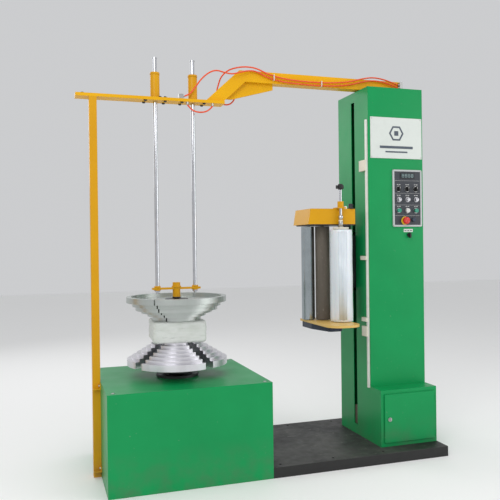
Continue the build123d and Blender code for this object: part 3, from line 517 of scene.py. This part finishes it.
def add_ring(mesh_data, place, inner, outer, height, axis="Z", segments=40):
    """Adds a flat ring with a softened outer edge, standing on place."""
    edge = min(0.2 * abs(height), 0.3 * (outer - inner))
    up = edge if height > 0 else -edge
    profile = [(inner, 0), (outer, 0), (outer, height - up), (outer - edge, height), (inner, height)]
    add_lathe(mesh_data, profile, place, axis, segments, hollow=True)


def add_hex(mesh_data, place, radius, height, axis="Z"):
    """Adds a bolt head with a chamfered top, standing on place."""
    profile = [(radius, 0), (radius, height * 0.8), (radius * 0.88, height)]
    add_lathe(mesh_data, profile, place, axis, 6)


# ---------------------------------------------------------------- air hoses
def nurbs_hose(name, points, node):
    """A hose whose control points are the route's own points, in millimetres."""
    curve = bpy.data.curves.new(name, "CURVE")
    curve.dimensions = "3D"
    curve.bevel_depth = HOSE_D / 2
    curve.bevel_resolution = 5
    curve.resolution_u = 12
    curve.use_fill_caps = True
    spline = curve.splines.new("NURBS")
    spline.points.add(len(points) - 1)
    for control, point in zip(spline.points, points):
        control.co = (*(value / 1000 for value in point), 1)
    spline.order_u = 3
    spline.use_endpoint_u = True
    curve.materials.append(M["hose"])
    hose = bpy.data.objects.new(name, curve)
    bpy.context.collection.objects.link(hose)
    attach(hose, "frame")
    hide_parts(node)


def build_hoses():
    """Two hoses along the arm, one of them looped down at the elbow, and a short one under the plate."""
    nurbs_hose(
        "hose_upper",
        [
            (-402, -30, 1933), (-374, -33, 1942), (-346, -40, 1978), (-316, -42, 2022), (-276, -42, 2060),
            (-232, -41, 2080), (-186, -39, 2070), (-140, -38, 2064), (-96, -36, 2078), (-48, -31, 2092),
            (0, -28, 2092), (58, -27, 2064), (135, -27, 2047), (230, -28, 2040), (335, -27, 2038),
            (445, -28, 2041), (550, -27, 2052), (632, -28, 2076), (700, -28, 2090), (765, -29, 2086),
            (818, -30, 2073), (868, -30, 2058),
        ],
        "air_hose_upper",
    )
    nurbs_hose(
        "hose_looped",
        [
            (868, -30, 2074), (818, -30, 2089), (765, -30, 2102), (700, -31, 2107), (632, -30, 2094),
            (550, -31, 2070), (445, -30, 2058), (335, -31, 2054), (230, -30, 2056), (135, -31, 2064),
            (58, -30, 2082), (0, -30, 2108), (-62, -32, 2112), (-112, -22, 2106), (-150, 12, 2098),
            (-180, 46, 2070), (-192, 64, 2026), (-202, 66, 1986), (-197, 65, 1949), (-170, 64, 1922),
            (-130, 63, 1922), (-103, 61, 1947), (-98, 59, 1978), (-100, 58, 2003),
        ],
        "air_hose_looped",
    )
    nurbs_hose(
        "hose_lower",
        [
            (-385, -31, 1889), (-370, -33, 1868), (-342, -36, 1852), (-300, -36, 1852), (-268, -33, 1867),
            (-250, -31, 1889),
        ],
        "air_hose_lower",
    )


def build_hose_ties():
    """Narrow white ties that hold the two hoses against the arm's front."""
    front, strap, width = -0.0365, 0.0011, 0.0048
    head_proud, head_half, head_wide = 0.004, 0.0035, 0.001
    tail_back, tail_front, tail_inset, tail_up = 0.0038, 0.0048, 0.0012, 0.017
    places = ((0.095, 2.0495, 2.0795), (0.378, 2.0325, 2.0620))
    for number, (left, bottom, top) in enumerate(places, start=1):
        data = bmesh.new()
        right = left + width
        middle = (bottom + top) / 2
        add_box(data, (left, front - strap, bottom), (right, front, top), 0.0004)
        add_box(data, (left, front - strap, top), (right, ARM_FRONT, top + strap), 0.0004)
        add_box(data, (left, front - strap, bottom - strap), (right, ARM_FRONT, bottom), 0.0004)
        head_low = (left - head_wide, front - head_proud, middle - head_half)
        add_box(data, head_low, (right + head_wide, front, middle + head_half), 0.0007)
        tail_low = (left + tail_inset, front - tail_front, middle)
        add_box(data, tail_low, (right - tail_inset, front - tail_back, middle + tail_up), 0.0003)
        piece_from(f"hose_tie_{number}", data, "frame", M["duct"], False)


# ---------------------------------------------------------------- load block and film roll
def block_reach(turn):
    """How far the block's rounded square reaches from its axis at a turn."""
    c, s = cos(turn), sin(turn)
    half = BLOCK_SIDE / 2
    flat = half - BLOCK_CORNER
    reach = half / max(abs(c), abs(s))
    if abs(reach * c) > flat and abs(reach * s) > flat:
        along = flat * (abs(c) + abs(s))
        reach = along + (along * along - 2 * flat * flat + BLOCK_CORNER * BLOCK_CORNER) ** 0.5
    return reach


def build_load_block():
    """A rounded square block in soft white wrap, its sides a little full and creased."""
    data = bmesh.new()
    sides, levels = 120, 26
    slack, edge_inset, edge_height = 0.0023, 0.008, 0.012
    low, high = BLOCK_LOW[2], BLOCK_HIGH[2]
    rings = []
    for level in range(levels + 1):
        share = level / levels
        height = low + share * (high - low)
        edge = min(height - low, high - height)
        inset = edge_inset * (1 - min(1, edge / edge_height)) ** 2
        ring = []
        for step in range(sides):
            turn = 2 * pi * step / sides
            crease = 0.0010 * sin(5 * turn + 7 * share) * sin(pi * share)
            crease += 0.0007 * sin(19 * turn - 16 * share) + 0.0005 * sin(41 * share + 3 * turn)
            reach = block_reach(turn) + crease - slack - inset
            angle = turn + radians(BLOCK_ANGLE)
            ring.append(data.verts.new((AXIS_X + reach * cos(angle), reach * sin(angle), height)))
        rings.append(ring)
    skin(data, rings)
    block = piece_from("wrapped_block", data, "turntable", M["wrap"], True)
    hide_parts("load_core")


def build_wrap_folds():
    """Two folds of the wrap that climb a little as they run round the block's front."""
    folds = bmesh.new()
    steps, climb, root, crest = 30, 0.012, 0.005, 0.0004
    low = BLOCK_LOW[2]
    for fold_low, fold_high, start, sweep in ((0.018, 0.034, -150, 118), (0.058, 0.070, -168, 96)):
        rows = []
        for step in range(steps + 1):
            share = step / steps
            turn = radians(start + sweep * share)
            angle = turn + radians(BLOCK_ANGLE)
            reach = block_reach(turn)
            middle = low + (fold_low + fold_high) / 2 + climb * share
            tall = (fold_high - fold_low) / 2 * (0.3 + 0.7 * sin(pi * share))
            corners = ((reach - root, middle - tall), (reach - crest, middle), (reach - root, middle + tall))
            rows.append([folds.verts.new((AXIS_X + r * cos(angle), r * sin(angle), z)) for r, z in corners])
        skin(folds, rows)
    piece_from("wrap_folds", folds, "turntable", M["wrap"], True)


def build_film_roll():
    """Film wound on a paper core, with slightly uneven ends and a loose outer edge."""
    low, high = ROLL_LOW[2], ROLL_HIGH[2]
    outer = (ROLL_HIGH[0] - ROLL_LOW[0]) / 2
    bore, core, chamfer, shoulder = 0.036, 0.039, 0.0004, 0.003
    foot, crown = low + 0.0016, high - 0.0006
    profile = [(bore, low), (core - chamfer, low), (core, foot), (outer - shoulder, foot + chamfer)]
    turns = 30
    for step in range(turns + 1):
        share = step / turns
        swell = 0.0004 * sin(5 * pi * share) + 0.0003 * sin(17 * share)
        profile.append((outer - 0.0008 + swell, foot + shoulder + share * (crown - foot - 0.008)))
    profile += [(outer - shoulder, crown - 0.0026), (core + 0.008, crown - 0.0036), (core, crown - 0.003)]
    profile += [(core, high - chamfer), (core - chamfer, high), (bore, high)]
    data = bmesh.new()
    add_lathe(data, profile, (ROLL_X, ROLL_Y, 0), "Z", 72, hollow=True)
    roll = piece_from("wound_roll", data, "film_roll", M["film"], True)
    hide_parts("film_roll")
    build_film_tail(outer, foot, crown)


def build_film_tail(outer, foot, crown):
    """The film's loose end, lying on the roll."""
    tail = bmesh.new()
    inside, outside, margin = outer - 0.0006, outer + 0.0003, 0.012
    rows = []
    for step in range(11):
        turn = radians(-128 + 4 * step)
        wave = 0.006 * sin(0.9 * step)
        heights = (foot + margin + 0.3 * wave, crown - margin - 0.4 * wave)
        rows.append([
            tail.verts.new((ROLL_X + reach * cos(turn), ROLL_Y + reach * sin(turn), z))
            for reach, z in zip((outside, outside, inside, inside), (*heights, *reversed(heights)))
        ])
    skin(tail, rows)
    piece_from("film_tail", tail, "film_roll", M["film"], True)


# ---------------------------------------------------------------- sign, panel and labels
def build_sign():
    """A pale plate with a plain hexagon mark and blank bars where the lettering was."""
    thick, proud, inset = 0.003, 0.0012, 0.008
    front = COLUMN_LOW[1]
    face = front - thick
    low, high = (0.618, face, 1.627), (0.944, front, 1.856)
    middle_x = (low[0] + high[0]) / 2
    plate = bmesh.new()
    add_box(plate, low, high, 0.0008)
    piece_from("sign_plate", plate, "frame", M["sign"], False)
    mark = bmesh.new()
    mark_z, half = 1.768, 0.013
    add_ring(mark, (middle_x, face, mark_z), 0.036, 0.046, proud, "Y", 6)
    mark_low = (middle_x - half, face - proud, mark_z - half)
    add_box(mark, mark_low, (middle_x + half, face, mark_z + half), 0.0005)
    piece_from("sign_mark", mark, "frame", M["sign_ink"], False)
    bars = bmesh.new()
    for half, bottom, top in ((0.105, 1.683, 1.697), (0.07, 1.660, 1.668)):
        add_box(bars, (middle_x - half, face - proud, bottom), (middle_x + half, face, top), 0.0005)
    piece_from("sign_bars", bars, "frame", M["sign_ink"], False)
    rivets = bmesh.new()
    for x in (low[0] + inset, high[0] - inset):
        for z in (low[2] + inset, high[2] - inset):
            add_lathe(rivets, [(0.003, 0), (0.0027, 0.0009), (0.0014, 0.0015)], (x, face, z), "Y", 14)
    piece_from("sign_rivets", rivets, "frame", M["zinc"], True)


def build_panel_print():
    """Dividing lines, blank legends and dial marks on the charcoal face."""
    face = PANEL_LOW[1]
    left, right = PANEL_LOW[0], PANEL_HIGH[0]
    ink, margin, line, legend = 0.0007, 0.004, 0.0011, 0.0035
    dial_marks, mark_reach, mark_half = 11, 0.0185, 0.0008
    lines = bmesh.new()
    for z in (1.503, 1.4325, 1.3665, 1.307):
        add_box(lines, (left + margin, face - ink, z), (right - margin, face, z + line), 0.0002)
    for column_x in CONTROL_XS:
        for z in (1.4795, 1.4195, 1.3575):
            for offset, width in ((-0.011, 0.009), (0.001, 0.011)):
                x = column_x + offset
                add_box(lines, (x, face - ink, z), (x + width, face, z + legend), 0.0002)
        for mark in range(dial_marks):
            turn = radians(-45 + 27 * mark)
            x = column_x + mark_reach * cos(turn)
            z = DIAL_Z + mark_reach * sin(turn)
            low = (x - mark_half, face - ink, z - mark_half)
            add_box(lines, low, (x + mark_half, face, z + mark_half))
    piece_from("panel_legends", lines, "frame", M["legend"], False)


def build_display():
    """A framed dark window with four blank figures made of bars."""
    face = PANEL_LOW[1]
    frame_piece = bmesh.new()
    add_box(frame_piece, (0.800, face - 0.003, 1.5155), (0.894, face, 1.5475), 0.0008)
    piece_from("display_frame", frame_piece, "frame", M["black"], False)
    window = bmesh.new()
    add_box(window, (0.804, face - 0.0037, 1.519), (0.890, face - 0.0028, 1.544), 0.0004)
    piece_from("display_window", window, "frame", M["display"], False)
    digits = bmesh.new()
    first_x, pitch, foot = 0.812, 0.0195, 1.522
    front, back = face - 0.0043, face - 0.0036
    bar, wide, tall = 0.0018, 0.010, 0.0085
    strokes = [(0, dz, wide, bar) for dz in (0, 0.0085, 0.017)]
    strokes += [(dx, dz, bar, tall) for dz in (0.0008, 0.0095) for dx in (-0.0012, 0.0094)]
    for digit in range(4):
        x = first_x + digit * pitch
        for dx, dz, w, h in strokes:
            add_box(digits, (x + dx, front, foot + dz), (x + dx + w, back, foot + dz + h))
    piece_from("display_digits", digits, "frame", M["digit"], False)


def build_panel_fixings():
    """Bezels round the selectors and push buttons, and the control box's corner screws."""
    bezels = bmesh.new()
    bore, thick = 0.0067, 0.0004
    for column_x in CONTROL_XS:
        for row_z, radius in ((SELECTOR_Z, 0.0165), (BUTTON_Z, 0.0148)):
            add_ring(bezels, (column_x, PANEL_LOW[1], row_z), bore, radius, thick, "Y", 32)
    piece_from("panel_bezels", bezels, "frame", M["zinc"], False)
    screws = bmesh.new()
    profile = [(0.0034, 0), (0.0034, 0.0008), (0.002, 0.0016)]
    for x in (0.758, 0.934):
        for z in (1.2505, 1.5595):
            add_lathe(screws, profile, (x, PANEL_FRAME_FRONT, z), "Y", 16)
    piece_from("panel_screws", screws, "frame", M["zinc"], False)


def build_switch_label():
    """A pale label with three blank marks, on the column above the rotary switch."""
    face = COLUMN_LOW[1]
    label = bmesh.new()
    add_box(label, (0.823, face - 0.0012, 1.2145), (0.882, face, 1.2325), 0.0004)
    piece_from("switch_label", label, "frame", M["sign"], False)
    marks = bmesh.new()
    first_x, pitch, width, bottom, top = 0.828, 0.018, 0.012, 1.2215, 1.2255
    for number in range(3):
        x = first_x + number * pitch
        add_box(marks, (x, face - 0.0018, bottom), (x + width, face - 0.0011, top), 0.0002)
    piece_from("switch_label_marks", marks, "frame", M["charcoal"], False)


def build_pointer(name, node, x, half, bottom, top, material):
    """A thin line let into the front of a turning knob."""
    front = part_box(node)[0][1]
    pointer = bmesh.new()
    add_box(pointer, (x - half, front - 0.0005, bottom), (x + half, front + 0.001, top), 0.0003)
    piece_from(name, pointer, node, M[material], False)


def build_control_details():
    """Pointer lines on the turning knobs, marks on the stop button and a yellow ring behind it."""
    for number, x in enumerate(CONTROL_XS, start=1):
        build_pointer(
            f"selector_pointer_{number}", f"selector_{number}", x, 0.0012,
            SELECTOR_Z + 0.0015, SELECTOR_Z + 0.012, "legend",
        )
        build_pointer(
            f"dial_pointer_{number}", f"dial_{number}", x, 0.0009,
            DIAL_Z + 0.001, DIAL_Z + 0.009, "black",
        )
    low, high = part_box("stop_button")
    centre_x, front, centre_z = (low[0] + high[0]) / 2, low[1], (low[2] + high[2]) / 2
    arrows = bmesh.new()
    mark_reach = 0.0095
    for degrees_round in (90, 210, 330):
        turn = radians(degrees_round)
        place = (centre_x + mark_reach * cos(turn), front, centre_z + mark_reach * sin(turn))
        add_lathe(arrows, [(0.002, 0), (0.002, 0.0003), (0.0014, 0.0005)], place, "Y", 3)
    piece_from("stop_marks", arrows, "stop_button", M["legend"], False)
    backing = bmesh.new()
    add_ring(backing, (centre_x, PANEL_LOW[1], centre_z), 0.007, 0.0235, 0.0008, "Y", 44)
    piece_from("stop_backing", backing, "frame", M["stop_yellow"], False)


# ---------------------------------------------------------------- bolts, covers and small fittings
def add_bolt(mesh_data, place, washer, washer_thick, head, head_height):
    """Adds a bolt head on its washer, standing on place; negative heights hang below it."""
    lift = washer_thick - 0.0001 if washer_thick > 0 else washer_thick + 0.0001
    add_ring(mesh_data, place, 0.004, washer, washer_thick, "Z", 24)
    add_hex(mesh_data, (place[0], place[1], place[2] + lift), head, head_height)


def build_bolts():
    """Hex bolts on the guide plate, the post's brackets and the arm's flange, and the base lid's screws."""
    under = bmesh.new()
    for bolt_x in (-0.605, -0.502, -0.414, -0.295):
        for bolt_y in (-0.027, 0.027):
            add_bolt(under, (bolt_x, bolt_y, PLATE_LOW[2]), 0.0095, -0.0014, 0.0075, -0.0052)
    piece_from("plate_bolts", under, "frame", M["dark"], False)
    over = bmesh.new()
    places = ((-0.918, -0.018), (-0.918, 0.018), (-0.528, -0.027), (-0.502, -0.027), (-0.205, 0.03))
    for bolt_x, bolt_y in places:
        add_bolt(over, (bolt_x, bolt_y, PLATE_HIGH[2]), 0.0095, 0.0014, 0.0075, 0.0052)
    piece_from("plate_top_bolts", over, "frame", M["dark"], False)
    bracket = bmesh.new()
    for lug_z in (0.048, 0.458):
        add_hex(bracket, (POST_HIGH[0] - 0.006, POST_LOW[1] + 0.012, lug_z), 0.0065, -0.005, "X")
    piece_from("bracket_bolts", bracket, "frame", M["zinc"], False)
    flange = bmesh.new()
    for bolt_x in (0.665, 0.905):
        for bolt_y in (-0.036, 0.066):
            add_bolt(flange, (bolt_x, bolt_y, FLANGE_TOP), 0.0105, 0.0016, 0.0085, 0.006)
    piece_from("flange_bolts", flange, "frame", M["zinc"], False)
    lid = bmesh.new()
    lid_profile = [(0.009, 0), (0.0085, 0.0018), (0.004, 0.003)]
    for screw_y in (-0.33, 0.33):
        for screw_x in (-0.82, -0.08):
            add_lathe(lid, lid_profile, (screw_x, screw_y, BASE_TOP), "Z", 20)
    piece_from("lid_screws", lid, "frame", M["zinc"], True)


def build_covers():
    """A cover on the column's back, with its screws and louvres."""
    margin, screw_inset, screw_rise, screw_gaps = 0.022, 0.014, 0.02, 6
    low = (COLUMN_LOW[0] + margin, COLUMN_HIGH[1], 0.11)
    high = (COLUMN_HIGH[0] - margin, COLUMN_HIGH[1] + 0.0016, 1.96)
    face = high[1]
    cover = bmesh.new()
    add_box(cover, low, high, 0.0006)
    piece_from("rear_cover", cover, "frame", M["green"], False)
    screws = bmesh.new()
    spread = high[2] - low[2] - 2 * screw_rise
    for screw_x in (low[0] + screw_inset, high[0] - screw_inset):
        for number in range(screw_gaps + 1):
            place = (screw_x, face, low[2] + screw_rise + number * spread / screw_gaps)
            add_ring(screws, place, 0.0016, 0.0045, -0.0018, "Y", 18)
            add_lathe(screws, [(0.0018, 0), (0.0018, -0.001)], place, "Y", 12)
    piece_from("rear_screws", screws, "frame", M["zinc"], True)
    louvres = bmesh.new()
    left, right, first_z, pitch, tall = 0.70, 0.86, 0.24, 0.022, 0.007
    for number in range(6):
        z = first_z + pitch * number
        add_box(louvres, (left, face - 0.0004, z), (right, face + 0.0042, z + tall), 0.0018)
    piece_from("rear_louvres", louvres, "frame", M["green"], False)


def build_carriage_fittings():
    """The stop in the column's slot, a plug and a nut on the housing, and the core plug's neck sleeve."""
    stop = bmesh.new()
    add_box(stop, (COLUMN_LOW[0] + 0.004, 0.013, 0.110), (COLUMN_LOW[0] + 0.03, 0.051, 0.217), 0.002)
    piece_from("slot_stop", stop, "frame", M["brown"], False)
    plug = bmesh.new()
    plug_x, plug_y, nut_gap = HOUSE_HIGH[0] - 0.024, HOUSE_LOW[1] + 0.050, 0.034
    profile = [(0.017, 0), (0.017, 0.005), (0.0135, 0.006), (0.0135, 0.024), (0.011, 0.028), (0.006, 0.029)]
    add_lathe(plug, profile, (plug_x, plug_y, HOUSE_TOP), "Z", 28)
    piece_from("housing_plug", plug, "carriage", M["black"], True)
    nut = bmesh.new()
    add_hex(nut, (plug_x - nut_gap, plug_y, HOUSE_TOP), 0.011, 0.014)
    piece_from("housing_nut", nut, "carriage", M["duct"], False)
    neck = bmesh.new()
    neck_bore = 0.0111
    for outer, height in ((0.0126, 0.032), (0.0155, 0.004)):
        add_ring(neck, (ROLL_X, ROLL_Y, NECK_FOOT), neck_bore, outer, height, "Z", 36)
    piece_from("plug_neck_sleeve", neck, "core_plug", M["zinc"], True)


def build_press_collars():
    """A dark ring under the press bar's boss, and collars and nuts where the rods meet the bar."""
    low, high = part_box("press_bar")
    middle_y = (low[1] + high[1]) / 2
    ring = bmesh.new()
    add_ring(ring, (AXIS_X, middle_y, low[2] + 0.001), BOSS_COLLAR_BORE, 0.0222, 0.006, "Z", 40)
    piece_from("boss_ring", ring, "press", M["dark"], True)
    collars = bmesh.new()
    for rod_x in (AXIS_X - ROD_REACH, AXIS_X + ROD_REACH):
        add_ring(collars, (rod_x, middle_y, BAR_TOP), ROD_COLLAR_BORE, 0.0165, 0.009, "Z", 36)
        add_ring(collars, (rod_x, middle_y, BAR_TOP - 0.01), 0.0145, 0.0175, -0.005, "Z", 6)
    add_ring(collars, (AXIS_X, middle_y, BAR_TOP), BOSS_COLLAR_BORE, 0.0245, 0.008, "Z", 40)
    piece_from("bar_collars", collars, "press", M["shaded_yellow"], False)


def build_sleeve_rings():
    """A ring at the foot and near the top of each guide sleeve."""
    low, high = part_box("guide_sleeves")
    inset = 0.024
    rings = bmesh.new()
    for sleeve_x in (low[0] + inset, high[0] - inset):
        add_ring(rings, (sleeve_x, 0, PLATE_HIGH[2]), SLEEVE_COLLAR_BORE, 0.0285, 0.005, "Z", 44)
        add_ring(rings, (sleeve_x, 0, high[2] - 0.012), SLEEVE_COLLAR_BORE, 0.0252, 0.009, "Z", 44)
    piece_from("sleeve_rings", rings, "frame", M["shaded_yellow"], True)


def build_housing_screws():
    """Three screws along the rear edge of the housing's top."""
    screws = bmesh.new()
    profile = [(0.0048, 0), (0.0044, 0.0016), (0.002, 0.0026)]
    for screw_x in (HOUSE_LOW[0] + 0.02, (HOUSE_LOW[0] + HOUSE_HIGH[0]) / 2, HOUSE_HIGH[0] - 0.075):
        add_lathe(screws, profile, (screw_x, HOUSE_HIGH[1] - 0.014, HOUSE_TOP), "Z", 18)
    piece_from("housing_screws", screws, "carriage", M["zinc"], True)


build_camera()
build_hoses()
build_stage()
dress_frame()
build_hose_ties()
build_load_block()
build_wrap_folds()
build_film_roll()
build_sign()
build_panel_print()
build_display()
build_panel_fixings()
build_switch_label()
build_control_details()
build_bolts()
build_covers()
build_carriage_fittings()
build_press_collars()
build_sleeve_rings()
build_housing_screws()
